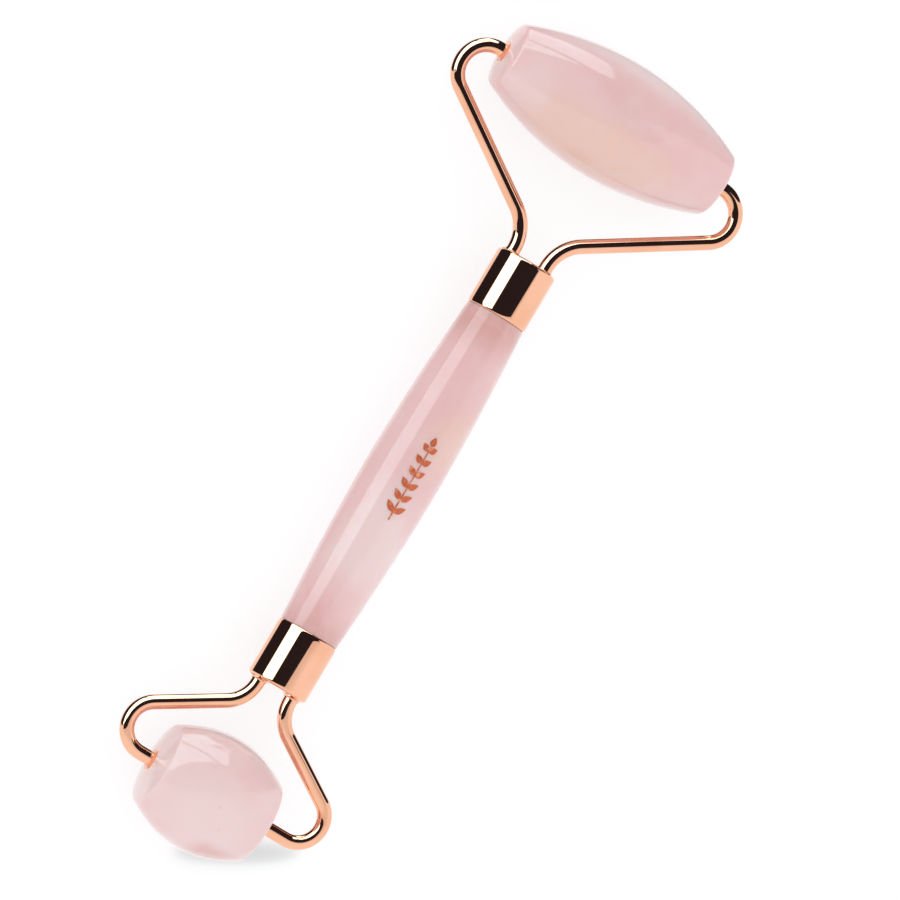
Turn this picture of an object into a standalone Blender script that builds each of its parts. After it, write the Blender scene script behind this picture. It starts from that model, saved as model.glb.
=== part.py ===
"""Two-ended rose quartz face roller, lying flat on its two rollers.

X runs along the handle towards the large roller, Y along both roller axes, Z up.
The origin is on the table, under the middle of the roller.  Units are metres.

Each end is built from the handle outwards: a tenon on the handle stone, an epoxy bond,
a metal ferrule, two wire arms soldered into the ferrule's end wall, and a drilled stone
that turns on the arms' pins in two nylon bushes.
"""

import math

import bpy

MM = 0.001

# Overall size: everything along the handle is placed from these.
ROLLER_RADIUS = 9.95 * MM
HANDLE_LENGTH = 78.6 * MM  # ferrule end face to ferrule end face
LARGE_REACH = 26.6 * MM  # ferrule end face to large roller axis
SMALL_REACH = 19.9 * MM  # ferrule end face to small roller axis
TOTAL_LENGTH = 2 * ROLLER_RADIUS + LARGE_REACH + HANDLE_LENGTH + SMALL_REACH
AXIS_HEIGHT = ROLLER_RADIUS

# Fits between touching pieces.
BOND_GAP = 0.05 * MM
SEAT_GAP = 0.1 * MM

# Handle stone.
HANDLE_END_RADIUS = 5.09 * MM
HANDLE_MID_RADIUS = 6.28 * MM
HANDLE_SWELL_POWER = 1.7
TENON_RADIUS = 4.2 * MM
TENON_CHAMFER = 0.4 * MM

# Ferrules.
FERRULE_RADIUS = 5.2 * MM
FERRULE_LENGTH = 10.0 * MM
FERRULE_WALL = 0.4 * MM
FERRULE_END_WALL = 1.0 * MM
FERRULE_END_FILLET = 0.35 * MM
FERRULE_LIP_FILLET = 0.15 * MM

# Epoxy bond inside each ferrule.
BOND_PLUG = 3.2 * MM  # thickness in front of the tenon, where the wire legs end
BOND_SKIRT = 4.6 * MM  # length around the tenon
BOND_OUTER_RADIUS = 4.7 * MM
BOND_INNER_RADIUS = 4.3 * MM

# Wire arms.
WIRE_RADIUS = 1.2 * MM
LEG_SIDE = 3.1 * MM  # leg centreline to handle axis
LEG_DEPTH = 3.4 * MM  # leg inside the ferrule, from its end face
LARGE_ARM = {"angle": 32.4, "hook": 4.6 * MM, "bend": 7.0 * MM, "outer": 26.45 * MM, "pin": 8.0 * MM}
SMALL_ARM = {"angle": 31.0, "hook": 4.27 * MM, "bend": 6.0 * MM, "outer": 18.3 * MM, "pin": 6.0 * MM}
HOOK_STEPS = 12
BEND_STEPS = 6

# Solder fillet round each leg.
SOLDER_RADIUS = 1.75 * MM
SOLDER_HEIGHT = 0.45 * MM
WIRE_HOLE_RADIUS = WIRE_RADIUS + BOND_GAP

# Roller stones: half length, ridge where barrel and end face meet, and bore.
LARGE_STONE = {"half": 21.13 * MM, "ridge": 20.33 * MM, "ridge_radius": 5.54 * MM}
SMALL_STONE = {"half": 10.85 * MM, "ridge": 9.75 * MM, "ridge_radius": 6.97 * MM}
RIDGE_ROUND = 0.35 * MM
RIDGE_CUT = 0.08 * MM  # how far the rounding takes the ridge back
END_CROWN = 0.12 * MM
BORE_RADIUS = 1.7 * MM
SMALL_STONE_SLIDE = 0.9 * MM  # the small stone rests this far along its pins, within its free play

# Nylon bushes.
BUSH_CLEARANCE = 0.08 * MM
BUSH_RECESS = 0.7 * MM
LARGE_BUSH = 6.0 * MM
SMALL_BUSH = 4.5 * MM

# Mesh density.
ROUND_STEPS = 36
SMALL_ROUND_STEPS = 24
WIRE_BEVEL_RESOLUTION = 4
HANDLE_RINGS = 8
BARREL_RINGS = 7
FACE_RINGS = 3

TOWARDS = {
    "+X": (0, math.pi / 2, 0),
    "-X": (0, -math.pi / 2, 0),
    "+Y": (-math.pi / 2, 0, 0),
    "-Y": (math.pi / 2, 0, 0),
}


def clear_scene():
    for thing in list(bpy.data.objects):
        bpy.data.objects.remove(thing, do_unlink=True)


def make_collection(name):
    collection = bpy.data.collections.new(name)
    bpy.context.scene.collection.children.link(collection)
    return collection


def make_material(name, colour, roughness, metallic=0.0, subsurface=0.0):
    material = bpy.data.materials.new(name)
    material.use_nodes = True
    shader = material.node_tree.nodes["Principled BSDF"]
    shader.inputs["Base Color"].default_value = (*colour, 1)
    shader.inputs["Roughness"].default_value = roughness
    shader.inputs["Metallic"].default_value = metallic
    shader.inputs["Subsurface Weight"].default_value = subsurface
    return material


def link(thing, collection, material=None, parent=None):
    collection.objects.link(thing)
    if material:
        thing.data.materials.append(material)
    if parent:
        thing.parent = parent
    return thing


def turned(name, profile, closed, steps, location, towards, material, parent=None):
    """A profile of (radius, height) points, from the top down its outer side, turned about local Z."""
    count = len(profile)
    edges = [(i, i + 1) for i in range(count - 1)]
    if closed:
        edges.append((count - 1, 0))
    mesh = bpy.data.meshes.new(name)
    mesh.from_pydata([(radius, 0, height) for radius, height in profile], edges, [])
    body = link(bpy.data.objects.new(name, mesh), PARTS, material, parent)
    body.location = location
    body.rotation_euler = TOWARDS[towards]
    turn = body.modifiers.new("turn", "SCREW")
    turn.steps = steps
    turn.render_steps = steps
    turn.use_merge_vertices = True
    turn.merge_threshold = 0.00001
    turn.use_smooth_shade = True
    return body


def arc(centre, radius, start, end, steps):
    """Points on an arc, in degrees, as (x, y) pairs."""
    points = []
    for i in range(steps + 1):
        angle = math.radians(start + (end - start) * i / steps)
        points.append((centre[0] + radius * math.cos(angle), centre[1] + radius * math.sin(angle)))
    return points


def mirrored(upper, middle_radius):
    """A whole profile from its upper half: the middle ring and the mirror image are added below."""
    return upper + [(middle_radius, 0)] + [(radius, -height) for radius, height in reversed(upper)]


def make_handle_stone():
    """A spindle of stone with a thinner tenon at each end for the ferrules."""
    shoulder = HANDLE_LENGTH / 2 - FERRULE_LENGTH - SEAT_GAP
    tenon_end = HANDLE_LENGTH / 2 - FERRULE_END_WALL - BOND_PLUG - 2 * BOND_GAP
    upper = [
        (0, tenon_end),
        (TENON_RADIUS - TENON_CHAMFER, tenon_end),
        (TENON_RADIUS, tenon_end - TENON_CHAMFER),
        (TENON_RADIUS, shoulder),
    ]
    for i in range(HANDLE_RINGS):
        share = 1 - i / HANDLE_RINGS
        swell = (HANDLE_MID_RADIUS - HANDLE_END_RADIUS) * share**HANDLE_SWELL_POWER
        upper.append((HANDLE_MID_RADIUS - swell, shoulder * share))
    profile = mirrored(upper, HANDLE_MID_RADIUS)
    turned("handle_stone", profile, False, ROUND_STEPS, (HANDLE_X, 0, AXIS_HEIGHT), "+X", QUARTZ)


def make_ferrule(side):
    """A turned cap with its end face at local zero and its mouth over the handle's tenon."""
    inner = FERRULE_RADIUS - FERRULE_WALL
    end_round = arc(
        (FERRULE_RADIUS - FERRULE_END_FILLET, -FERRULE_END_FILLET), FERRULE_END_FILLET, 90, 0, 3
    )
    lip_centre = (FERRULE_RADIUS - FERRULE_LIP_FILLET, -FERRULE_LENGTH + FERRULE_LIP_FILLET)
    lip_round = arc(lip_centre, FERRULE_LIP_FILLET, 0, -90, 2)
    profile = [(0, 0)] + end_round + lip_round
    profile += [(inner, -FERRULE_LENGTH), (inner, -FERRULE_END_WALL), (0, -FERRULE_END_WALL)]
    name = side["name"] + "_ferrule"
    ferrule = turned(
        name, profile, False, ROUND_STEPS, (side["face_x"], 0, AXIS_HEIGHT), side["outwards"], ROSE_GOLD
    )
    cut_wire_holes(ferrule, side)


def make_bond(side):
    """Cured epoxy: a plug round the wire ends and a skirt round the tenon."""
    top = -FERRULE_END_WALL - BOND_GAP
    ledge = top - BOND_PLUG
    bottom = ledge - BOND_SKIRT
    profile = [
        (0, top),
        (BOND_OUTER_RADIUS, top),
        (BOND_OUTER_RADIUS, bottom),
        (BOND_INNER_RADIUS, bottom),
        (BOND_INNER_RADIUS, ledge),
        (0, ledge),
    ]
    bond = turned(
        side["name"] + "_epoxy_bond",
        profile,
        False,
        SMALL_ROUND_STEPS,
        (side["face_x"], 0, AXIS_HEIGHT),
        side["outwards"],
        EPOXY,
    )
    cut_wire_holes(bond, side)


def cut_wire_holes(body, side):
    for cutter in side["cutters"]:
        cut = body.modifiers.new(cutter.name, "BOOLEAN")
        cut.operation = "DIFFERENCE"
        cut.solver = "EXACT"
        cut.object = cutter


def make_wire_cutters(side):
    """Two cylinders where the legs pass through the ferrule and end in the epoxy."""
    outside = 2 * MM
    inside = LEG_DEPTH + BOND_GAP
    middle = side["face_x"] + side["sign"] * (outside - inside) / 2
    side["cutters"] = []
    for hand in HANDS:
        bpy.ops.mesh.primitive_cylinder_add(
            vertices=SMALL_ROUND_STEPS,
            radius=WIRE_HOLE_RADIUS,
            depth=outside + inside,
            location=(middle, hand["sign"] * LEG_SIDE, AXIS_HEIGHT),
            rotation=TOWARDS[side["outwards"]],
        )
        cutter = bpy.context.active_object
        cutter.name = f"{side['name']}_{hand['name']}_wire_hole"
        for collection in list(cutter.users_collection):
            collection.objects.unlink(cutter)
        link(cutter, CUTTERS)
        cutter.hide_render = True
        cutter.display_type = "WIRE"
        side["cutters"].append(cutter)


def arm_centreline(reach, stone, arm):
    """(side, reach) points of one arm: pin, hook, straight run, bend and leg."""
    angle = math.radians(arm["angle"])
    hook = arm["hook"]
    bend = arm["bend"]
    hook_centre = (arm["outer"] - hook, reach - hook)
    tangent = (hook_centre[0] + hook * math.sin(angle), hook_centre[1] - hook * math.cos(angle))
    corner = tangent[1] - (tangent[0] - LEG_SIDE) * math.tan(angle)
    leg_top = corner - bend * math.tan((math.pi / 2 - angle) / 2)
    points = [(stone["half"] - arm["pin"], reach)]
    points += arc(hook_centre, hook, 90, arm["angle"] - 90, HOOK_STEPS)
    points += arc((LEG_SIDE + bend, leg_top), bend, 90 + arm["angle"], 180, BEND_STEPS)
    points.append((LEG_SIDE, -LEG_DEPTH))
    return points


def make_arm(side, hand):
    name = f"{side['name']}_{hand['name']}_arm"
    points = arm_centreline(side["reach"], side["stone"], side["arm"])
    curve = bpy.data.curves.new(name, "CURVE")
    curve.dimensions = "3D"
    spline = curve.splines.new("POLY")
    spline.points.add(len(points) - 1)
    for point, (across, out) in zip(spline.points, points):
        point.co = (side["sign"] * out, hand["sign"] * across, 0, 1)
    spline.use_smooth = True
    curve.bevel_depth = WIRE_RADIUS
    curve.bevel_resolution = WIRE_BEVEL_RESOLUTION
    curve.use_fill_caps = True
    wire = link(bpy.data.objects.new(name, curve), PARTS, ROSE_GOLD)
    wire.location = (side["face_x"], 0, AXIS_HEIGHT)


def make_solder(side, hand):
    """A small fillet of solder round the leg, on the ferrule's end face."""
    foot = BOND_GAP
    profile = [
        (WIRE_HOLE_RADIUS, SOLDER_HEIGHT),
        (WIRE_HOLE_RADIUS + 0.08 * MM, SOLDER_HEIGHT),
        (WIRE_HOLE_RADIUS + 0.2 * MM, 0.45 * SOLDER_HEIGHT),
        (SOLDER_RADIUS, foot + 0.05 * MM),
        (SOLDER_RADIUS, foot),
        (WIRE_HOLE_RADIUS, foot),
    ]
    turned(
        f"{side['name']}_{hand['name']}_solder",
        profile,
        True,
        SMALL_ROUND_STEPS,
        (side["face_x"], hand["sign"] * LEG_SIDE, AXIS_HEIGHT),
        side["outwards"],
        ROSE_GOLD,
    )


def roller_profile(stone):
    """Upper half of a barrel: bore mouth, crowned end face, rounded ridge and swelling side."""
    half = stone["half"]
    ridge = stone["ridge"]
    ridge_radius = stone["ridge_radius"]
    swell = ROLLER_RADIUS - ridge_radius

    def barrel(height):
        return ROLLER_RADIUS - swell * (height / ridge) ** 2

    def end_face(radius):
        share = (radius - BORE_RADIUS) / (ridge_radius - BORE_RADIUS)
        return half - (half - ridge) * share + END_CROWN * 4 * share * (1 - share)

    face_edge = ridge_radius - RIDGE_ROUND
    side_edge = ridge - RIDGE_ROUND
    points = [(BORE_RADIUS, half)]
    for i in range(1, FACE_RINGS + 1):
        radius = BORE_RADIUS + (face_edge - BORE_RADIUS) * i / FACE_RINGS
        points.append((radius, end_face(radius)))
    points += [(ridge_radius - RIDGE_CUT, ridge - RIDGE_CUT / 2), (barrel(side_edge), side_edge)]
    for i in range(1, BARREL_RINGS):
        height = side_edge * (1 - i / BARREL_RINGS)
        points.append((barrel(height), height))
    return points


def make_roller(side):
    """The drilled stone and its two bushes, all turning about one empty on the joint's axis."""
    axis = bpy.data.objects.new(side["name"] + "_roller_axis", None)
    link(axis, PARTS)
    axis.location = (side["face_x"] + side["sign"] * side["reach"], side["slide"], AXIS_HEIGHT)
    stone = side["stone"]
    profile = mirrored(roller_profile(stone), ROLLER_RADIUS)
    turned(
        side["name"] + "_roller_stone", profile, True, ROUND_STEPS, (0, 0, 0), "+Y", QUARTZ, axis
    )
    bush_inner = WIRE_RADIUS + BUSH_CLEARANCE
    bush_outer = BORE_RADIUS - BOND_GAP
    bush_profile = [
        (bush_inner, 0),
        (bush_outer, 0),
        (bush_outer, -side["bush"]),
        (bush_inner, -side["bush"]),
    ]
    for hand in HANDS:
        turned(
            f"{side['name']}_{hand['name']}_bush",
            bush_profile,
            True,
            SMALL_ROUND_STEPS,
            (0, hand["sign"] * (stone["half"] - BUSH_RECESS), 0),
            hand["outwards"],
            NYLON,
            axis,
        )


clear_scene()
PARTS = make_collection("face_roller")
CUTTERS = make_collection("cutters")

QUARTZ = make_material("rose_quartz", (0.80, 0.56, 0.56), 0.12, subsurface=0.4)
ROSE_GOLD = make_material("rose_gold", (0.93, 0.60, 0.46), 0.08, metallic=1.0)
EPOXY = make_material("clear_epoxy", (0.85, 0.80, 0.68), 0.3)
NYLON = make_material("natural_nylon", (0.88, 0.86, 0.80), 0.45)

SMALL_FACE_X = -TOTAL_LENGTH / 2 + ROLLER_RADIUS + SMALL_REACH
LARGE_FACE_X = SMALL_FACE_X + HANDLE_LENGTH
HANDLE_X = (SMALL_FACE_X + LARGE_FACE_X) / 2

HANDS = [
    {"name": "left", "sign": 1, "outwards": "+Y"},
    {"name": "right", "sign": -1, "outwards": "-Y"},
]
SIDES = [
    {
        "name": "large",
        "sign": 1,
        "outwards": "+X",
        "face_x": LARGE_FACE_X,
        "reach": LARGE_REACH,
        "stone": LARGE_STONE,
        "arm": LARGE_ARM,
        "bush": LARGE_BUSH,
        "slide": 0,
    },
    {
        "name": "small",
        "sign": -1,
        "outwards": "-X",
        "face_x": SMALL_FACE_X,
        "reach": SMALL_REACH,
        "stone": SMALL_STONE,
        "arm": SMALL_ARM,
        "bush": SMALL_BUSH,
        "slide": SMALL_STONE_SLIDE,
    },
]

make_handle_stone()
for end in SIDES:
    make_wire_cutters(end)
    make_ferrule(end)
    make_bond(end)
    for hand_side in HANDS:
        make_arm(end, hand_side)
        make_solder(end, hand_side)
    make_roller(end)
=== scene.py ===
"""The finished look of the rose quartz face roller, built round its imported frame.

X runs along the handle towards the large roller, Y along both roller axes, Z up, in metres.
Finely turned and swept pieces take the place of every CAD node but the two epoxy bonds, which only
get a better material.
"""

import math

import bmesh
import bpy
from mathutils import Matrix, Vector


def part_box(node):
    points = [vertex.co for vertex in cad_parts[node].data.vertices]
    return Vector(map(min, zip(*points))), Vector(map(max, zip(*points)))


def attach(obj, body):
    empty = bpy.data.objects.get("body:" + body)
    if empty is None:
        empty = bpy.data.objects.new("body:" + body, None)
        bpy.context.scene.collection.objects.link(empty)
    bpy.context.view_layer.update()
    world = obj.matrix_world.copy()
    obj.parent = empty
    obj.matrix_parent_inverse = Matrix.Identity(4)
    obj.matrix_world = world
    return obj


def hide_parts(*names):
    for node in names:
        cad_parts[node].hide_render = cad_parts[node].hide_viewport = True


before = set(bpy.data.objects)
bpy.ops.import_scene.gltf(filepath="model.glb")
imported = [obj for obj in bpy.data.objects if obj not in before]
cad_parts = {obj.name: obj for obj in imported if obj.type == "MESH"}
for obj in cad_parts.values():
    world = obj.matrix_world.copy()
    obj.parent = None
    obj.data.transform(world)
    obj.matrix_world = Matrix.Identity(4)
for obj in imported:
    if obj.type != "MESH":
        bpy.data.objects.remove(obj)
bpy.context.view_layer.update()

MM = 0.001

# Camera: a long lens above the handle.  The angles turn it about the handle, tip it and roll it.
CAMERA_TURN = math.radians(16.674)
CAMERA_PITCH = math.radians(-3.527)
CAMERA_ROLL = math.radians(30.577)
CAMERA_LENS = 391.7
CAMERA_SENSOR = 36
CAMERA_CLIP = 10  # metres
CAMERA_OFFSET = Vector((-5.949 * MM, 1.072 * MM, 1557 * MM))  # object from camera: right, down, ahead

# Sizes read from the frame.
stone_low, stone_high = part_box("large_roller_stone")
ferrule_low, ferrule_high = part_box("large_ferrule")
ROLLER_RADIUS = (stone_high.z - stone_low.z) / 2
AXIS_HEIGHT = (stone_high.z + stone_low.z) / 2
FERRULE_RADIUS = (ferrule_high.z - ferrule_low.z) / 2
LARGE_FACE_X = ferrule_high.x
SMALL_FACE_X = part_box("small_ferrule")[0].x
FERRULE_LENGTH = LARGE_FACE_X - ferrule_low.x
HANDLE_X = (LARGE_FACE_X + SMALL_FACE_X) / 2
HANDLE_LENGTH = LARGE_FACE_X - SMALL_FACE_X
HANDLE_MID_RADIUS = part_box("handle_stone")[1].z - AXIS_HEIGHT

# Sizes repeated from the part's design.
GAP = 0.05 * MM
HANDLE_END_RADIUS = 5.09 * MM
HANDLE_SWELL_POWER = 1.7
TENON_RADIUS = 4.2 * MM
TENON_CHAMFER = 0.4 * MM
TENON_DEPTH = 4.3 * MM  # from the ferrule's end face to the tenon's end
FERRULE_WALL = 0.4 * MM
FERRULE_END_WALL = 1.0 * MM
WIRE_RADIUS = 1.2 * MM
LEG_SIDE = 3.1 * MM
LEG_DEPTH = 3.4 * MM
SOLDER_RADIUS = 1.75 * MM
SOLDER_HEIGHT = 0.45 * MM
BORE_RADIUS = 1.7 * MM
END_CROWN = 0.12 * MM
BUSH_RADIUS = BORE_RADIUS - GAP
BUSH_BORE = WIRE_RADIUS + 0.08 * MM

# Sizes of the visual pieces alone: closer seams and softer edges than the part's.
SHOULDER_GAP = 0.03 * MM
SHOULDER_ROUND = 0.2 * MM
FERRULE_END_FILLET = 0.55 * MM
FERRULE_LIP_DEPTH = 0.22 * MM  # the lip curls in by this much
FERRULE_LIP_LENGTH = 0.8 * MM  # over this length
SUPPORT = 0.12 * MM  # spacing of the rings that keep a straight wall straight
DRILL_LENGTH = 6 * FERRULE_END_WALL
WIRE_END_CHAMFER = 0.25 * MM
SOLDER_FOOT = 0.04 * MM  # thickness of the solder at its outer edge
SOLDER_HOLLOW = 0.9  # how much of its width its concave side takes
BORE_CHAMFER = 0.28 * MM
RIDGE_FILLET = 0.75 * MM
BUSH_CHAMFER = 0.08 * MM

# Mesh fineness.
STONE_STEPS = 160
FERRULE_STEPS = 128
SMALL_STEPS = 48
WIRE_SIDES = 32
HOOK_STEPS = 48
BEND_STEPS = 28
FILLET_STEPS = 8
FERRULE_END_STEPS = 10
SOLDER_STEPS = 10
SHOULDER_STEPS = 5
HANDLE_RINGS = 60
FACE_RINGS = 12
BARREL_RINGS = 56
SHARP_DEGREES = 40  # edges sharper than this stay crisp
FERRULE_SHARP_DEGREES = 50
FOIL_SHARP_DEGREES = 30

HANDS = [{"name": "left", "sign": 1}, {"name": "right", "sign": -1}]
# reach: ferrule face to roller axis.  half and ridge: middle of the stone to its end and to its ridge.
ENDS = [
    {
        "name": "large",
        "sign": 1,
        "face_x": LARGE_FACE_X,
        "reach": 26.6 * MM,
        "ridge": 20.33 * MM,
        "ridge_radius": 5.54 * MM,
        "arm": {"angle": 32.4, "hook": 4.6 * MM, "bend": 7.0 * MM, "outer": 26.45 * MM, "pin": 8.0 * MM},
        "half": 21.13 * MM,
    },
    {
        "name": "small",
        "sign": -1,
        "face_x": SMALL_FACE_X,
        "reach": 19.9 * MM,
        "ridge": 9.75 * MM,
        "ridge_radius": 6.97 * MM,
        "arm": {"angle": 31.0, "hook": 4.27 * MM, "bend": 6.0 * MM, "outer": 18.3 * MM, "pin": 6.0 * MM},
        "half": 10.85 * MM,
    },
]


# ---------------------------------------------------------------- camera


def make_camera():
    turn = CAMERA_TURN
    straight_down = Matrix(
        (
            (0, -math.cos(turn), math.sin(turn)),
            (-1, 0, 0),
            (0, -math.sin(turn), -math.cos(turn)),
        )
    )
    roll = Matrix.Rotation(CAMERA_ROLL, 3, "Z")
    pitch = Matrix.Rotation(CAMERA_PITCH, 3, "X")
    view = roll @ pitch @ straight_down  # rows: right, down and ahead of the camera
    target = Vector((0, 0, AXIS_HEIGHT))
    place = target - view.transposed() @ CAMERA_OFFSET
    axes = Matrix((view[0], -view[1], -view[2])).transposed()
    data = bpy.data.cameras.new("camera")
    data.lens = CAMERA_LENS
    data.sensor_width = CAMERA_SENSOR
    data.clip_end = CAMERA_CLIP
    camera = bpy.data.objects.new("camera", data)
    bpy.context.scene.collection.objects.link(camera)
    camera.matrix_world = Matrix.Translation(place) @ axes.to_4x4()
    bpy.context.scene.camera = camera


# ---------------------------------------------------------------- shader helpers


def new_tree(owner):
    """The emptied node tree of a material or of the world."""
    owner.use_nodes = True
    owner.node_tree.nodes.clear()
    return owner.node_tree


def node(tree, kind, settings=None, **inputs):
    """A shader node.  Inputs are sockets or values, by name with _ for spaces, or by number as i0, i1."""
    made = tree.nodes.new(kind)
    for key, value in (settings or {}).items():
        setattr(made, key, value)
    for key, value in inputs.items():
        numbered = key[0] == "i" and key[1:].isdigit()
        socket = made.inputs[int(key[1:]) if numbered else key.replace("_", " ")]
        if isinstance(value, bpy.types.NodeSocket):
            tree.links.new(value, socket)
        else:
            socket.default_value = value
    return made


def object_place(tree):
    return node(tree, "ShaderNodeTexCoord").outputs["Object"]


def math_node(tree, operation, first, second=0.0):
    return node(tree, "ShaderNodeMath", {"operation": operation}, i0=first, i1=second).outputs[0]


def dot(tree, vector, axis):
    made = node(tree, "ShaderNodeVectorMath", {"operation": "DOT_PRODUCT"}, i0=vector, i1=axis)
    return made.outputs["Value"]


def ramp(tree, value, start, end, low=0.0, high=1.0):
    """A smooth step from low to high as value goes from start to end."""
    made = node(
        tree,
        "ShaderNodeMapRange",
        {"interpolation_type": "SMOOTHSTEP"},
        Value=value,
        From_Min=start,
        From_Max=end,
        To_Min=low,
        To_Max=high,
    )
    return made.outputs["Result"]


def mix(tree, share, first, second):
    made = node(tree, "ShaderNodeMix", {"data_type": "RGBA"}, i0=share, i6=first, i7=second)
    return made.outputs[2]


def noise(tree, vector, scale, detail=2.0, distortion=0.0):
    made = node(
        tree, "ShaderNodeTexNoise", None, Vector=vector, Scale=scale, Detail=detail, Distortion=distortion
    )
    return made.outputs["Fac"]


def srgb(red, green, blue):
    """A shader colour from the 0 to 255 values that a picture of it would have."""

    def linear(level):
        share = level / 255
        return share / 12.92 if share <= 0.04045 else ((share + 0.055) / 1.055) ** 2.4

    return (linear(red), linear(green), linear(blue), 1.0)


# ---------------------------------------------------------------- light


SKY = (1.08, 1.08, 1.08, 1)  # the even light that falls on the stones and the table
WHITE = (1.0, 1.0, 1.0, 1)
DARK = (0.02, 0.019, 0.026, 1)
SOFTBOX = (2.7, 3.5, 3.6, 1)
UP = (0, 0, 1)
BACK = (0, 1, 0)
EDGE_SOFTNESS = 0.02
DARK_SIDE = Vector((0.82, 0.574, 0.0))  # the side of the room that mirrors as dark
DARK_EDGE = 0.12
DARK_LOWEST = -0.8
STRIP_PLANE = Vector((-0.17, 0.456, -0.874))  # square to the strip light
STRIP_MIDDLE = Vector((0.634, 0.729, 0.2575))
STRIP_LONG = STRIP_PLANE.cross(STRIP_MIDDLE)
STRIP_UPPER = 0.355  # its two long edges, either side of its plane
STRIP_LOWER = 0.476
STRIP_FLARE = 0.208  # how much the lower edge slopes away
STRIP_ENDS = (-0.86, 0.8)
STRIP_FRONT = 0.2
STRIP_BACK_EDGE = -0.09
STRIP_BAR = 0.4  # a thin dark bar across the strip
STRIP_BAR_EDGE = 2.5 * EDGE_SOFTNESS

CARD_HEIGHT = 270 * MM
CARD_FADE = -170 * MM  # where the card starts, its grey ends and its black ends, along DARK_SIDE
CARD_NEAR = -52 * MM
CARD_FAR = 100 * MM
CARD_LEFT = -205 * MM  # its two edges across that
CARD_RIGHT = 800 * MM
CARD_SOFTNESS = 2 * MM
CARD_GREY = (0.78, 0.78, 0.78, 1)

FLAG_MIDDLE = (-68.3 * MM, -11.4 * MM, 1.2 * MM)
FLAG_LENGTH = 21 * MM
FLAG_WIDTH = 3.4 * MM
FLAG_TURN = math.radians(-60.3)
FLAG_BLACK = (0.0, 0.0, 0.0, 1)

FLOOR_SIZE = 6  # metres
FLOOR_DROP = 0.05 * MM
FLOOR_GLOW = 0.65
FLOOR_COLOUR = (0.375, 0.385, 0.395, 1)


def make_world():
    """Even light on matt surfaces.  Polished ones mirror white cards, a dark side and a strip light."""
    world = bpy.data.worlds.new("studio")
    bpy.context.scene.world = world
    tree = new_tree(world)
    direction = node(tree, "ShaderNodeTexCoord").outputs["Generated"]
    side = dot(tree, direction, DARK_SIDE)
    height = dot(tree, direction, UP)
    dark = math_node(
        tree,
        "MULTIPLY",
        ramp(tree, side, DARK_EDGE - EDGE_SOFTNESS, DARK_EDGE + EDGE_SOFTNESS),
        ramp(tree, height, DARK_LOWEST - EDGE_SOFTNESS, DARK_LOWEST + EDGE_SOFTNESS),
    )
    along = dot(tree, direction, STRIP_LONG)
    bar = math_node(tree, "ABSOLUTE", math_node(tree, "SUBTRACT", along, STRIP_BAR))
    strip = ramp(tree, bar, EDGE_SOFTNESS, STRIP_BAR_EDGE)
    limits = (
        (dot(tree, direction, -STRIP_PLANE), -STRIP_UPPER),
        (dot(tree, direction, STRIP_PLANE + STRIP_LONG * STRIP_FLARE), -STRIP_LOWER),
        (along, STRIP_ENDS[0]),
        (dot(tree, direction, -STRIP_LONG), -STRIP_ENDS[1]),
        (dot(tree, direction, STRIP_MIDDLE), STRIP_FRONT),
        (dot(tree, direction, BACK), STRIP_BACK_EDGE),
    )
    for distance, edge in limits:
        inside = ramp(tree, distance, edge - EDGE_SOFTNESS, edge + EDGE_SOFTNESS)
        strip = math_node(tree, "MULTIPLY", strip, inside)
    cards = mix(tree, strip, mix(tree, dark, WHITE, DARK), SOFTBOX)
    path = node(tree, "ShaderNodeLightPath")
    mirrored = mix(tree, path.outputs["Is Glossy Ray"], SKY, cards)
    colour = mix(tree, path.outputs["Is Camera Ray"], mirrored, WHITE)
    background = node(tree, "ShaderNodeBackground", None, Color=colour, Strength=1.0)
    node(tree, "ShaderNodeOutputWorld", None, Surface=background.outputs[0])


def make_black_card():
    """A long card above the roller, white fading to grey and then black, that only shows mirrored."""
    across = Vector((-DARK_SIDE.y, DARK_SIDE.x, 0))
    sides = ((CARD_FADE, CARD_LEFT), (CARD_FAR, CARD_LEFT), (CARD_FAR, CARD_RIGHT), (CARD_FADE, CARD_RIGHT))
    corners = []
    for along, sideways in sides:
        corner = DARK_SIDE * along + across * sideways
        corners.append((corner.x, corner.y, CARD_HEIGHT))
    mesh = bpy.data.meshes.new("black_card")
    mesh.from_pydata(corners, [], [(0, 1, 2, 3)])
    material = bpy.data.materials.new("black_card")
    tree = new_tree(material)
    along = dot(tree, object_place(tree), DARK_SIDE)
    fade = ramp(tree, along, CARD_FADE, CARD_NEAR)
    dark = ramp(tree, along, CARD_NEAR - CARD_SOFTNESS, CARD_NEAR + CARD_SOFTNESS)
    colour = mix(tree, dark, mix(tree, fade, WHITE, CARD_GREY), DARK)
    glow = node(tree, "ShaderNodeEmission", None, Color=colour, Strength=1.0)
    node(tree, "ShaderNodeOutputMaterial", None, Surface=glow.outputs[0])
    mesh.materials.append(material)
    card = bpy.data.objects.new("black_card", mesh)
    bpy.context.scene.collection.objects.link(card)
    card.visible_camera = False
    card.visible_diffuse = False
    card.visible_transmission = False
    card.visible_volume_scatter = False
    card.visible_shadow = False


def make_flag():
    """A thin oval flag low by the small stone, unseen itself: it deepens the contact shadow there."""
    bpy.ops.mesh.primitive_circle_add(
        vertices=SMALL_STEPS, radius=0.5, fill_type="NGON", location=FLAG_MIDDLE, rotation=(0, 0, FLAG_TURN)
    )
    flag = bpy.context.active_object
    flag.name = "shadow_flag"
    flag.scale = (FLAG_LENGTH, FLAG_WIDTH, 1)
    material = bpy.data.materials.new("flag_black")
    tree = new_tree(material)
    black = node(tree, "ShaderNodeBsdfDiffuse", None, Color=FLAG_BLACK)
    node(tree, "ShaderNodeOutputMaterial", None, Surface=black.outputs[0])
    flag.data.materials.append(material)
    flag.visible_camera = False
    flag.visible_glossy = False
    flag.visible_transmission = False


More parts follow.
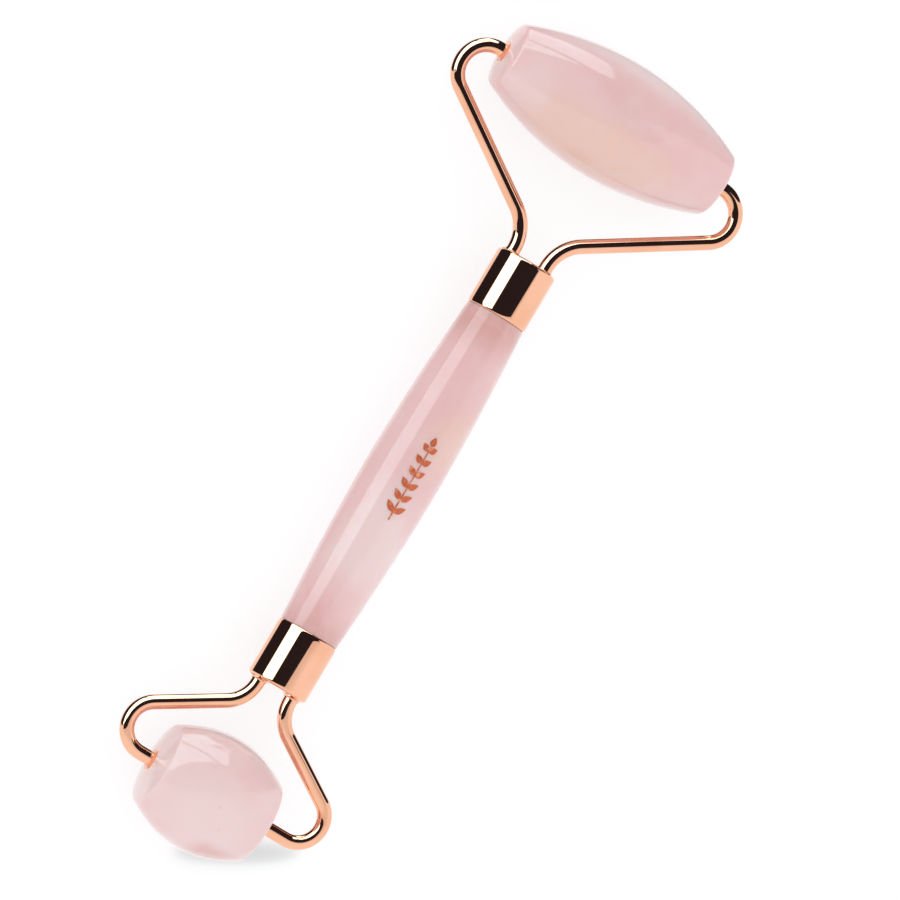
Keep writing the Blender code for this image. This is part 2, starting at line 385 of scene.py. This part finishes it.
def make_floor():
    """A plain white lit table, which still takes a faint contact shadow."""
    bpy.ops.mesh.primitive_plane_add(size=FLOOR_SIZE, location=(0, 0, -FLOOR_DROP))
    floor = bpy.context.active_object
    floor.name = "floor"
    material = bpy.data.materials.new("floor_white")
    tree = new_tree(material)
    glow = node(tree, "ShaderNodeEmission", None, Color=WHITE, Strength=FLOOR_GLOW)
    matt = node(tree, "ShaderNodeBsdfDiffuse", None, Color=FLOOR_COLOUR)
    both = node(tree, "ShaderNodeAddShader", None, i0=glow.outputs[0], i1=matt.outputs[0])
    node(tree, "ShaderNodeOutputMaterial", None, Surface=both.outputs[0])
    floor.data.materials.append(material)
    floor.visible_glossy = False


# ---------------------------------------------------------------- materials


def principled(tree, **inputs):
    shader = node(tree, "ShaderNodeBsdfPrincipled", None, **inputs)
    node(tree, "ShaderNodeOutputMaterial", None, Surface=shader.outputs[0])


def bump(tree, height, strength, distance):
    made = node(tree, "ShaderNodeBump", None, Height=height, Strength=strength, Distance=distance)
    return made.outputs["Normal"]


def cloud(tree, place, centre, size, inner=0.35):
    """How much a point lies in a soft ellipsoid: 1 in its middle, 0 outside."""
    offset = node(tree, "ShaderNodeVectorMath", {"operation": "SUBTRACT"}, i0=place, i1=centre)
    scaled = node(
        tree, "ShaderNodeVectorMath", {"operation": "DIVIDE"}, i0=offset.outputs[0], i1=size
    )
    distance = node(tree, "ShaderNodeVectorMath", {"operation": "LENGTH"}, i0=scaled.outputs[0])
    return ramp(tree, distance.outputs["Value"], inner, 1.0, 1.0, 0.0)


def wandering(tree, place, scale, amount):
    """The place, pushed about by noise so that a cloud's edge is ragged."""
    push = node(tree, "ShaderNodeTexNoise", None, Vector=place, Scale=scale, Detail=3.0)
    centred = node(
        tree, "ShaderNodeVectorMath", {"operation": "SUBTRACT"}, i0=push.outputs["Color"], i1=(0.5, 0.5, 0.5)
    )
    scaled = node(
        tree, "ShaderNodeVectorMath", {"operation": "SCALE"}, i0=centred.outputs[0], Scale=amount
    )
    moved = node(tree, "ShaderNodeVectorMath", {"operation": "ADD"}, i0=place, i1=scaled.outputs[0])
    return moved.outputs[0]


QUARTZ_PINK = srgb(225, 187, 187)
# rose tone of the stone, also used as painted shade by the ferrules and on the small stone's -X side
QUARTZ_ROSE_AND_SHADE = srgb(209, 161, 157)
QUARTZ_CREAM = srgb(226, 193, 181)
# pale milky tone of the stone, also used as painted rim light on the rollers' +X flanks
QUARTZ_PALE_AND_RIM_LIGHT = srgb(229, 208, 207)
# painted glow: the gold pin's light seen through the stone, as tint and emission round each bore
QUARTZ_PAINTED_GLOW = srgb(242, 204, 186)
QUARTZ_SPECK = srgb(196, 152, 148)
QUARTZ_SCATTER = (0.9, 0.55, 0.5)
MILK_SHARE = 0.4
VEIN_WIDTH = 0.05
VEIN_SHARE = 0.1
SPECKS_PER_METRE = 330.0
SPECK_SHARE = 0.35
# sizes and strengths of the painted tint and painted glow round each bore
PAINTED_BORE_TINT_SIZE = (2.9 * MM, 2.0 * MM, 2.9 * MM)
PAINTED_BORE_TINT_SHARE = 0.8
PAINTED_BORE_GLOW_SIZE = (2.1 * MM, 1.4 * MM, 2.1 * MM)
PAINTED_BORE_GLOW_STRENGTH = 0.45


def clouded(tree, drifting, clouds):
    """Pink stone with a pale milkiness and the given clouds."""
    milk = ramp(tree, noise(tree, drifting, 55.0, 3.0, 0.6), 0.42, 0.68)
    colour = mix(tree, math_node(tree, "MULTIPLY", milk, MILK_SHARE), QUARTZ_PINK, QUARTZ_PALE_AND_RIM_LIGHT)
    for tint, centre, size, strength in clouds:
        share = math_node(tree, "MULTIPLY", cloud(tree, drifting, centre, size), strength)
        colour = mix(tree, share, colour, tint)
    return colour


def veined(tree, place, colour):
    """Thin pale veins where a wandering noise crosses its middle."""
    level = noise(tree, wandering(tree, place, 140.0, 14 * MM), 60.0, 5.0, 0.2)
    off_line = math_node(tree, "ABSOLUTE", math_node(tree, "SUBTRACT", level, 0.5))
    return mix(tree, ramp(tree, off_line, 0.0, VEIN_WIDTH, VEIN_SHARE, 0.0), colour, QUARTZ_PALE_AND_RIM_LIGHT)


def specked(tree, place, colour):
    """Small dark inclusions in a few cells of a Voronoi pattern."""
    cells = node(tree, "ShaderNodeTexVoronoi", None, Vector=place, Scale=SPECKS_PER_METRE)
    rare = ramp(tree, dot(tree, cells.outputs["Color"], (1, 0, 0)), 0.965, 0.99)
    dotted = ramp(tree, cells.outputs["Distance"], 0.05, 0.14, SPECK_SHARE, 0.0)
    return mix(tree, math_node(tree, "MULTIPLY", rare, dotted), colour, QUARTZ_SPECK)


def make_quartz(name, clouds, bores=()):
    """Milky stone.  Clouds are (colour, centre, half sizes, strength), some of them painted shade and
    painted rim light.  A painted orange tint and emission glow round each bore stand in for the gold pin's
    light seen through the stone.
    """
    material = bpy.data.materials.new(name)
    tree = new_tree(material)
    place = object_place(tree)
    colour = clouded(tree, wandering(tree, place, 90.0, 9 * MM), clouds)
    colour = specked(tree, place, veined(tree, place, colour))
    lit = 0.0
    # painted glow: a tint and an emission round each bore stand in for the pin's light through the stone
    for centre in bores:
        painted_tint = cloud(tree, place, centre, PAINTED_BORE_TINT_SIZE, 0.55)
        colour = mix(tree, math_node(tree, "MULTIPLY", painted_tint, PAINTED_BORE_TINT_SHARE), colour, QUARTZ_PAINTED_GLOW)
        lit = math_node(tree, "ADD", lit, cloud(tree, place, centre, PAINTED_BORE_GLOW_SIZE, 0.8))
    principled(
        tree,
        Base_Color=colour,
        Roughness=ramp(tree, noise(tree, place, 420.0, 3.0), 0.3, 0.8, 0.04, 0.08),
        Normal=bump(tree, noise(tree, place, 260.0, 2.0), 0.25, 0.02 * MM),
        IOR=1.54,
        Specular_IOR_Level=0.36,
        Subsurface_Weight=0.55,
        Subsurface_Radius=QUARTZ_SCATTER,
        Subsurface_Scale=2.6 * MM,
        Emission_Color=QUARTZ_PAINTED_GLOW,
        Emission_Strength=math_node(tree, "MULTIPLY", lit, PAINTED_BORE_GLOW_STRENGTH),
        Sheen_Weight=0.85,
        Sheen_Roughness=0.35,
    )
    return material


GOLD = srgb(252, 194, 163)
GOLD_DEEP = srgb(247, 186, 152)
FOIL = srgb(208, 104, 64)
FOIL_LIGHT = srgb(246, 170, 138)
EPOXY = srgb(214, 205, 180)
EPOXY_CLOUDY = srgb(226, 219, 200)
NYLON = srgb(226, 222, 212)
NYLON_WARM = srgb(214, 204, 188)
PLASTIC_SCATTER = 0.5 * MM
POLISH_DEPTH = 0.01 * MM


def make_gold(name, grain):
    """Mirror-polished rose gold plate; grain stretches the faint polishing marks."""
    material = bpy.data.materials.new(name)
    tree = new_tree(material)
    place = object_place(tree)
    stretched = node(tree, "ShaderNodeVectorMath", {"operation": "MULTIPLY"}, i0=place, i1=grain)
    marks = noise(tree, stretched.outputs[0], 900.0, 4.0)
    tone = ramp(tree, noise(tree, place, 160.0, 2.0), 0.35, 0.7)
    handled = ramp(tree, noise(tree, place, 70.0, 3.0, 0.4), 0.45, 0.75, 0.0, 0.02)
    fine = ramp(tree, marks, 0.3, 0.75, 0.03, 0.055)
    principled(
        tree,
        Base_Color=mix(tree, tone, GOLD, GOLD_DEEP),
        Metallic=1.0,
        Roughness=math_node(tree, "ADD", fine, handled),
        Normal=bump(tree, marks, 0.08, POLISH_DEPTH),
    )
    return material


def make_foil():
    """Hot-stamped copper foil with a slightly uneven shine."""
    material = bpy.data.materials.new("copper_foil")
    tree = new_tree(material)
    place = object_place(tree)
    worn = ramp(tree, noise(tree, place, 900.0, 3.0), 0.5, 0.72)
    principled(
        tree,
        Base_Color=mix(tree, worn, FOIL, FOIL_LIGHT),
        Metallic=0.25,
        Roughness=ramp(tree, noise(tree, place, 1400.0), 0.3, 0.7, 0.24, 0.4),
        Normal=bump(tree, noise(tree, place, 2200.0), 0.2, POLISH_DEPTH),
    )
    return material


def make_plain(name, colour, second, roughness, scale):
    """A cast or moulded plastic, mottled softly at that scale; its gloss and grain are finer."""
    material = bpy.data.materials.new(name)
    tree = new_tree(material)
    place = object_place(tree)
    mottle = ramp(tree, noise(tree, place, scale, 4.0), 0.35, 0.7)
    principled(
        tree,
        Base_Color=mix(tree, mottle, colour, second),
        Roughness=ramp(tree, noise(tree, place, 3 * scale), 0.3, 0.7, roughness - 0.06, roughness + 0.06),
        Subsurface_Weight=0.2,
        Subsurface_Scale=PLASTIC_SCATTER,
        Normal=bump(tree, noise(tree, place, 5 * scale), 0.15, POLISH_DEPTH),
    )
    return material


# ---------------------------------------------------------------- mesh helpers


def mesh_piece(name, points, faces, material, sharp_degrees=SHARP_DEGREES):
    """A closed mesh object with its faces turned outwards."""
    mesh = bpy.data.meshes.new(name)
    mesh.from_pydata(points, [], faces)
    work = bmesh.new()
    work.from_mesh(mesh)
    bmesh.ops.recalc_face_normals(work, faces=work.faces)
    work.to_mesh(mesh)
    work.free()
    mesh.shade_smooth()
    mesh.set_sharp_from_angle(angle=math.radians(sharp_degrees))
    mesh.materials.append(material)
    piece = bpy.data.objects.new(name, mesh)
    bpy.context.scene.collection.objects.link(piece)
    return piece


def arc(centre, radius, start, end, steps):
    """Points on an arc, in degrees, as (x, y) pairs."""
    points = []
    for i in range(steps + 1):
        angle = math.radians(start + (end - start) * i / steps)
        points.append((centre[0] + radius * math.cos(angle), centre[1] + radius * math.sin(angle)))
    return points


def filleted(before, corner, after, radius):
    """An arc of that radius in place of a corner of a profile."""
    first = (Vector(before) - Vector(corner)).normalized()
    second = (Vector(after) - Vector(corner)).normalized()
    half = first.angle(second) / 2
    along = radius / math.tan(half)
    centre = Vector(corner) + (first + second).normalized() * (radius / math.sin(half))
    start = Vector(corner) + first * along - centre
    end = Vector(corner) + second * along - centre
    sweep = start.angle_signed(end)
    points = []
    for i in range(FILLET_STEPS + 1):
        turned_by = Matrix.Rotation(-sweep * i / FILLET_STEPS, 2)
        points.append(tuple(centre + turned_by @ start))
    return points


def turned(name, profile, middle, axis, steps, material, sharp_degrees=SHARP_DEGREES):
    """A closed profile of (radius, height) points turned about the X or Y axis through middle."""
    loop_closed = profile[0][0] > 0
    points = []
    rings = []
    for radius, height in profile:
        if radius <= 0:
            rings.append([len(points)])
            points.append(oriented(axis, middle, 0, 0, height))
            continue
        rings.append(range(len(points), len(points) + steps))
        for i in range(steps):
            angle = 2 * math.pi * i / steps
            points.append(oriented(axis, middle, radius * math.cos(angle), radius * math.sin(angle), height))
    pairs = list(zip(rings, rings[1:]))
    if loop_closed:
        pairs.append((rings[-1], rings[0]))
    faces = []
    for lower, upper in pairs:
        for i in range(steps):
            j = (i + 1) % steps
            if len(lower) == 1:
                faces.append((lower[0], upper[j], upper[i]))
            elif len(upper) == 1:
                faces.append((lower[i], lower[j], upper[0]))
            else:
                faces.append((lower[i], lower[j], upper[j], upper[i]))
    return mesh_piece(name, points, faces, material, sharp_degrees)


def oriented(axis, middle, across, up, height):
    """A point of a turned piece, with its height measured along the X or Y axis."""
    if axis == "X":
        return (middle[0] + height, middle[1] + across, middle[2] + up)
    return (middle[0] + across, middle[1] + height, middle[2] + up)


def swept_wire(name, path, material):
    """A round wire along a flat path of (x, y) points at the axis height, with chamfered ends."""
    stations = [Vector((x, y)) for x, y in path]
    first = (stations[1] - stations[0]).normalized()
    last = (stations[-1] - stations[-2]).normalized()
    chamfer = WIRE_END_CHAMFER
    rows = [(stations[0], first, WIRE_RADIUS - chamfer)]
    rows.append((stations[0] + first * chamfer, first, WIRE_RADIUS))
    for before, here, after in zip(stations, stations[1:], stations[2:]):
        rows.append((here, (after - before).normalized(), WIRE_RADIUS))
    rows.append((stations[-1] - last * chamfer, last, WIRE_RADIUS))
    rows.append((stations[-1], last, WIRE_RADIUS - chamfer))
    points = []
    for centre, heading, radius in rows:
        side = Vector((-heading.y, heading.x))
        for i in range(WIRE_SIDES):
            angle = 2 * math.pi * i / WIRE_SIDES
            flat = centre + side * radius * math.cos(angle)
            points.append((flat.x, flat.y, AXIS_HEIGHT + radius * math.sin(angle)))
    faces = []
    for row in range(len(rows) - 1):
        base = row * WIRE_SIDES
        for i in range(WIRE_SIDES):
            j = (i + 1) % WIRE_SIDES
            faces.append((base + i, base + j, base + WIRE_SIDES + j, base + WIRE_SIDES + i))
    faces.append(tuple(range(WIRE_SIDES)))
    faces.append(tuple(len(points) - WIRE_SIDES + i for i in range(WIRE_SIDES)))
    return mesh_piece(name, points, faces, material)


def finish_piece(piece, body, slot, *nodes):
    """Puts the piece under its body's empty and hides the CAD nodes that it replaces; slot is not used."""
    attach(piece, body)
    if nodes:
        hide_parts(*nodes)


# ---------------------------------------------------------------- stones


HANDLE_SHOULDER = HANDLE_LENGTH / 2 - FERRULE_LENGTH - SHOULDER_GAP  # from the handle's middle


def handle_radius(x):
    """The spindle's radius at x, as in the part."""
    share = min(1.0, abs(x - HANDLE_X) / HANDLE_SHOULDER)
    return HANDLE_MID_RADIUS - (HANDLE_MID_RADIUS - HANDLE_END_RADIUS) * share**HANDLE_SWELL_POWER


def make_handle_stone(material):
    """A spindle with rounded shoulders and a tenon at each end."""
    tenon_end = HANDLE_LENGTH / 2 - TENON_DEPTH
    round_middle = (HANDLE_END_RADIUS - SHOULDER_ROUND, HANDLE_SHOULDER - SHOULDER_ROUND)
    half = [(0, tenon_end), (TENON_RADIUS - TENON_CHAMFER, tenon_end)]
    half += [(TENON_RADIUS, tenon_end - TENON_CHAMFER), (TENON_RADIUS, HANDLE_SHOULDER)]
    half.append((round_middle[0], HANDLE_SHOULDER))
    half += arc(round_middle, SHOULDER_ROUND, 90, 0, SHOULDER_STEPS)[1:]
    for i in range(1, HANDLE_RINGS):
        height = round_middle[1] * (1 - i / HANDLE_RINGS)
        half.append((handle_radius(HANDLE_X + height), height))
    profile = half + [(HANDLE_MID_RADIUS, 0)] + [(radius, -height) for radius, height in reversed(half)]
    middle = (HANDLE_X, 0, AXIS_HEIGHT)
    stone = turned("handle_rose_quartz", profile, middle, "X", STONE_STEPS, material)
    finish_piece(stone, "handle", "rose_quartz", "handle_stone")


def roller_profile(end):
    """Half of a barrel: chamfered bore mouth, domed end face, rounded ridge and swelling side."""
    half = end["half"]
    ridge = end["ridge"]
    ridge_radius = end["ridge_radius"]
    swell = ROLLER_RADIUS - ridge_radius

    def barrel(height):
        return ROLLER_RADIUS - swell * (height / ridge) ** 2

    def end_face(radius):
        share = (radius - BORE_RADIUS) / (ridge_radius - BORE_RADIUS)
        return half - (half - ridge) * share + END_CROWN * 4 * share * (1 - share)

    mouth = BORE_RADIUS + BORE_CHAMFER
    face_edge = ridge_radius - RIDGE_FILLET
    side_edge = ridge - RIDGE_FILLET
    profile = [(BORE_RADIUS, half - 2 * BORE_CHAMFER), (BORE_RADIUS, half - BORE_CHAMFER)]
    for i in range(FACE_RINGS + 1):
        radius = mouth + (face_edge - mouth) * i / FACE_RINGS
        profile.append((radius, end_face(radius)))
    before = profile[-1]
    after = (barrel(side_edge), side_edge)
    profile += filleted(before, (ridge_radius, ridge), after, RIDGE_FILLET)
    for i in range(BARREL_RINGS):
        height = side_edge * (1 - i / BARREL_RINGS)
        profile.append((barrel(height), height))
    return profile


def stone_middle(end):
    low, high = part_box(end["name"] + "_roller_stone")
    return (low + high) / 2


def make_roller_stone(end, material):
    half_profile = roller_profile(end)
    profile = half_profile + [(ROLLER_RADIUS, 0)]
    profile += [(radius, -height) for radius, height in reversed(half_profile)]
    name = end["name"] + "_roller"
    stone = turned(name + "_quartz", profile, stone_middle(end), "Y", STONE_STEPS, material)
    finish_piece(stone, name, "rose_quartz", name + "_stone")


# ---------------------------------------------------------------- metal


def make_ferrule(end, material):
    """A drawn cap: rolled end edge, thin wall, two holes for the wire legs."""
    inner = FERRULE_RADIUS - FERRULE_WALL
    round_middle = (FERRULE_RADIUS - FERRULE_END_FILLET, -FERRULE_END_FILLET)
    end_round = arc(round_middle, FERRULE_END_FILLET, 90, 0, FERRULE_END_STEPS)
    lip_round = []
    for step in range(FILLET_STEPS + 1):
        angle = math.pi / 2 * step / FILLET_STEPS
        radius = FERRULE_RADIUS - FERRULE_LIP_DEPTH * (1 - math.cos(angle))
        lip_round.append((radius, -FERRULE_LENGTH + FERRULE_LIP_LENGTH * (1 - math.sin(angle))))
    wall_ends = (-FERRULE_END_FILLET - SUPPORT, -FERRULE_LENGTH + FERRULE_LIP_LENGTH + SUPPORT)
    wall = [(FERRULE_RADIUS, height) for height in wall_ends]
    profile = [(0, 0)] + end_round + wall + lip_round
    profile += [(inner, -FERRULE_LENGTH), (inner, -FERRULE_END_WALL), (0, -FERRULE_END_WALL)]
    profile = [(radius, end["sign"] * height) for radius, height in profile]
    middle = (end["face_x"], 0, AXIS_HEIGHT)
    name = end["name"] + "_ferrule"
    steps = FERRULE_STEPS
    ferrule = turned(name + "_plated", profile, middle, "X", steps, material, FERRULE_SHARP_DEGREES)
    for hand in HANDS:
        bpy.ops.mesh.primitive_cylinder_add(
            vertices=SMALL_STEPS,
            radius=WIRE_RADIUS + GAP,
            depth=DRILL_LENGTH,
            location=(end["face_x"], hand["sign"] * LEG_SIDE, AXIS_HEIGHT),
            rotation=(0, math.pi / 2, 0),
        )
        drill = bpy.context.active_object
        cut = ferrule.modifiers.new("leg_hole", "BOOLEAN")
        cut.object = drill
        cut.solver = "EXACT"
        bpy.context.view_layer.objects.active = ferrule
        bpy.ops.object.modifier_apply(modifier=cut.name)
        bpy.data.objects.remove(drill, do_unlink=True)
    finish_piece(ferrule, "handle", "rose_gold", name)


def arm_centreline(end):
    """(side, reach) points of one arm: pin, hook, straight run, bend and leg."""
    arm = end["arm"]
    angle = math.radians(arm["angle"])
    hook = arm["hook"]
    bend = arm["bend"]
    hook_centre = (arm["outer"] - hook, end["reach"] - hook)
    tangent = (hook_centre[0] + hook * math.sin(angle), hook_centre[1] - hook * math.cos(angle))
    corner = tangent[1] - (tangent[0] - LEG_SIDE) * math.tan(angle)
    leg_top = corner - bend * math.tan((math.pi / 2 - angle) / 2)
    points = [(end["half"] - arm["pin"], end["reach"])]
    points += arc(hook_centre, hook, 90, arm["angle"] - 90, HOOK_STEPS)
    points += arc((LEG_SIDE + bend, leg_top), bend, 90 + arm["angle"], 180, BEND_STEPS)
    points.append((LEG_SIDE, -LEG_DEPTH))
    return points


def make_arm(end, hand, material):
    path = []
    for side, reach in arm_centreline(end):
        path.append((end["face_x"] + end["sign"] * reach, hand["sign"] * side))
    name = f"{end['name']}_{hand['name']}_arm"
    wire = swept_wire(name + "_wire", path, material)
    finish_piece(wire, "handle", "rose_gold", name)


def make_solder(end, hand, material):
    """A concave fillet of solder round the leg."""
    inner = WIRE_RADIUS + GAP
    hollow = SOLDER_HOLLOW * (SOLDER_RADIUS - inner)
    drop = SOLDER_HEIGHT - GAP - SOLDER_FOOT
    profile = [(inner, GAP), (inner, SOLDER_HEIGHT)]
    for i in range(SOLDER_STEPS + 1):
        angle = math.radians(90 * i / SOLDER_STEPS)
        profile.append((SOLDER_RADIUS - hollow * math.cos(angle), SOLDER_HEIGHT - drop * math.sin(angle)))
    profile.append((SOLDER_RADIUS, GAP))
    profile = [(radius, end["sign"] * height) for radius, height in profile]
    middle = (end["face_x"], hand["sign"] * LEG_SIDE, AXIS_HEIGHT)
    name = f"{end['name']}_{hand['name']}_solder"
    ring = turned(name + "_fillet", profile, middle, "X", SMALL_STEPS, material)
    finish_piece(ring, "handle", "rose_gold", name)


def make_bush(end, hand, material):
    """A chamfered nylon tube that fills the bore round the pin."""
    name = f"{end['name']}_{hand['name']}_bush"
    low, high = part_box(name)
    length = high.y - low.y
    profile = [
        (BUSH_BORE + BUSH_CHAMFER, length / 2),
        (BUSH_RADIUS - BUSH_CHAMFER, length / 2),
        (BUSH_RADIUS, length / 2 - BUSH_CHAMFER),
        (BUSH_RADIUS, -length / 2 + BUSH_CHAMFER),
        (BUSH_RADIUS - BUSH_CHAMFER, -length / 2),
        (BUSH_BORE + BUSH_CHAMFER, -length / 2),
        (BUSH_BORE, -length / 2 + BUSH_CHAMFER),
        (BUSH_BORE, length / 2 - BUSH_CHAMFER),
    ]
    bush = turned(name + "_moulded", profile, (low + high) / 2, "Y", SMALL_STEPS, material)
    finish_piece(bush, end["name"] + "_roller", "natural_nylon", name)


# ---------------------------------------------------------------- ornament


SPRIG_LENGTH = 15.0 * MM
SPRIG_LIFT = 0.015 * MM
SPRIG_THICKNESS = 0.03 * MM
STEM_WIDTH = 0.3 * MM
LEAF_LENGTH = 2.15 * MM
LEAF_WIDTH = 1.0 * MM
LEAF_LEAN = math.radians(48)
LEAF_FOOT = 0.12 * MM  # off the stem's middle
LEAF_ROUNDNESS = 0.8  # below 1 the leaf is widest nearer its foot
LEAF_TIP_WIDTH = 0.02 * MM
LEAF_SHRINK = 0.06  # each pair is this much shorter than the one before
LEAF_PAIRS = 6
LEAF_START = 0.6  # of a pair's spacing, from the foot of the stem to the first pair
LEAF_STEPS = 12
TIP_LEAF_LENGTH = 0.8 * LEAF_LENGTH
STEM_TAPER = 0.5
STEM_STEPS = 30


def on_handle(x, around, lift):
    """A point on the handle: around is the distance along the surface from its top line."""
    radius = handle_radius(x)
    angle = around / radius
    reach = radius + lift
    return (x, -reach * math.sin(angle), AXIS_HEIGHT + reach * math.cos(angle))


def ribbon(strips, name, material):
    """Closed thin shapes on the handle.  A strip is a list of (left, right) pairs of (x, around) points."""
    points = []
    faces = []
    for strip in strips:
        base = len(points)
        for left, right in strip:
            for x, around in (left, right):
                points.append(on_handle(x, around, SPRIG_LIFT))
                points.append(on_handle(x, around, SPRIG_LIFT + SPRIG_THICKNESS))
        for i in range(len(strip) - 1):
            here = base + 4 * i
            there = here + 4
            faces.append((here + 1, here + 3, there + 3, there + 1))
            faces.append((here, there, there + 2, here + 2))
            faces.append((here, here + 1, there + 1, there))
            faces.append((here + 2, there + 2, there + 3, here + 3))
        last = base + 4 * (len(strip) - 1)
        faces.append((base, base + 2, base + 3, base + 1))
        faces.append((last, last + 1, last + 3, last + 2))
    return mesh_piece(name, points, faces, material, FOIL_SHARP_DEGREES)


def leaf(foot_x, foot_around, lean, length):
    """A pointed leaf from its foot, leaning at an angle from the stem's direction."""
    strip = []
    for i in range(LEAF_STEPS + 1):
        share = i / LEAF_STEPS
        half_width = LEAF_WIDTH / 2 * math.sin(math.pi * share**LEAF_ROUNDNESS) + LEAF_TIP_WIDTH
        along = length * share
        middle_x = foot_x + along * math.cos(lean)
        middle_around = foot_around + along * math.sin(lean)
        off_x = -half_width * math.sin(lean)
        off_around = half_width * math.cos(lean)
        left = (middle_x + off_x, middle_around + off_around)
        right = (middle_x - off_x, middle_around - off_around)
        strip.append((left, right))
    return strip


def make_sprig(material):
    """A leafy sprig stamped along the top of the handle."""
    start = HANDLE_X - SPRIG_LENGTH / 2
    stem_length = SPRIG_LENGTH - TIP_LEAF_LENGTH
    stem = []
    for i in range(STEM_STEPS + 1):
        share = i / STEM_STEPS
        x = start + stem_length * share
        half_width = STEM_WIDTH / 2 * (1 - STEM_TAPER * share)
        stem.append(((x, half_width), (x, -half_width)))
    strips = [stem, leaf(start + stem_length, 0, 0, TIP_LEAF_LENGTH)]
    for i in range(LEAF_PAIRS):
        x = start + stem_length * (i + LEAF_START) / LEAF_PAIRS
        length = LEAF_LENGTH * (1 - LEAF_SHRINK * i)
        for side in (1, -1):
            strips.append(leaf(x, side * LEAF_FOOT, side * LEAF_LEAN, length))
    sprig = ribbon(strips, "leaf_sprig", material)
    finish_piece(sprig, "handle", "rose_gold")


# ---------------------------------------------------------------- assembly


def clouds_from(middle, *clouds):
    """Clouds for make_quartz, with their centres given from a middle and all lengths in millimetres."""
    placed = []
    for tint, offset, size, strength in clouds:
        placed.append((tint, middle + Vector(offset) * MM, Vector(size) * MM, strength))
    return placed


def handle_clouds():
    """Deeper rose by both ferrules as painted shade and painted reflection of the ferrules, cream by the
    sprig, pale towards the small end.
    """
    large_face = Vector((LARGE_FACE_X, 0, AXIS_HEIGHT))
    small_face = Vector((SMALL_FACE_X, 0, AXIS_HEIGHT))
    # painted shade: deeper rose by both ferrules stands in for the shade and ferrule reflections at the
    # joints
    clouds = clouds_from(large_face, (QUARTZ_ROSE_AND_SHADE, (-9, 0, 0), (12, 12, 12), 0.9))
    clouds += clouds_from(small_face, (QUARTZ_ROSE_AND_SHADE, (9, 0, 0), (9, 12, 12), 0.8))
    clouds += clouds_from(
        Vector((0, 0, AXIS_HEIGHT)),
        (QUARTZ_CREAM, (3, -2, 5), (9, 5, 7), 0.6),
        (QUARTZ_PALE_AND_RIM_LIGHT, (-15, 0, 5), (14, 8, 9), 0.9),
    )
    return clouds


def roller_clouds():
    """The clouds of the two roller stones, by the name of their end.  The pale +X flank of each is painted
    rim light, and the small stone's deeper rose on its -X side is painted contact shade.
    """
    large = clouds_from(
        stone_middle(ENDS[0]),
        (QUARTZ_CREAM, (-5, 2, 6), (7, 18, 10), 0.9),
        (QUARTZ_PALE_AND_RIM_LIGHT, (-3.6, 16.5, 5), (6, 6, 8), 0.45),
        (QUARTZ_PINK, (-0.9, -10.4, 7), (4, 4, 6), 0.8),
        # painted rim light: a pale cloud along the +X flank stands in for light through the translucent edge
        (QUARTZ_PALE_AND_RIM_LIGHT, (10, 0, 3), (6.5, 26, 9), 0.9),
        (QUARTZ_ROSE_AND_SHADE, (3.5, 2, 8), (5, 11, 7), 0.2),
    )
    small = clouds_from(
        stone_middle(ENDS[1]),
        (QUARTZ_PALE_AND_RIM_LIGHT, (-1, 1, 5), (12, 18, 13), 0.9),
        # painted shade: a deeper rose cloud on the -X side stands in for contact shade there
        (QUARTZ_ROSE_AND_SHADE, (-9, -5, 2), (5, 8, 8), 0.7),
        # painted rim light: a pale cloud on the +X flank stands in for light through the translucent edge
        (QUARTZ_PALE_AND_RIM_LIGHT, (9, 0, 2), (5, 12, 8), 0.6),
    )
    return {"large": large, "small": small}


def main():
    bpy.context.scene.view_settings.view_transform = "Standard"
    make_camera()
    make_world()
    make_black_card()
    make_floor()
    make_flag()

    ferrule_gold = make_gold("rose_gold_turned", (6.0, 1.0, 1.0))
    wire_gold = make_gold("rose_gold_drawn", (1.0, 1.0, 2.0))
    foil = make_foil()
    nylon = make_plain("nylon_moulded", NYLON, NYLON_WARM, 0.42, 500.0)
    epoxy = make_plain("epoxy_cured", EPOXY, EPOXY_CLOUDY, 0.3, 350.0)

    make_handle_stone(make_quartz("rose_quartz_handle", handle_clouds()))
    stone_clouds = roller_clouds()
    for end in ENDS:
        middle = stone_middle(end)
        bores = [middle + Vector((0, hand["sign"] * end["half"], 0)) for hand in HANDS]
        quartz = make_quartz(f"rose_quartz_{end['name']}", stone_clouds[end["name"]], bores)
        make_roller_stone(end, quartz)
        make_ferrule(end, ferrule_gold)
        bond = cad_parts[end["name"] + "_epoxy_bond"]
        bond.data.materials.clear()
        bond.data.materials.append(epoxy)
        for hand in HANDS:
            make_arm(end, hand, wire_gold)
            make_solder(end, hand, wire_gold)
            make_bush(end, hand, nylon)
    make_sprig(foil)


main()
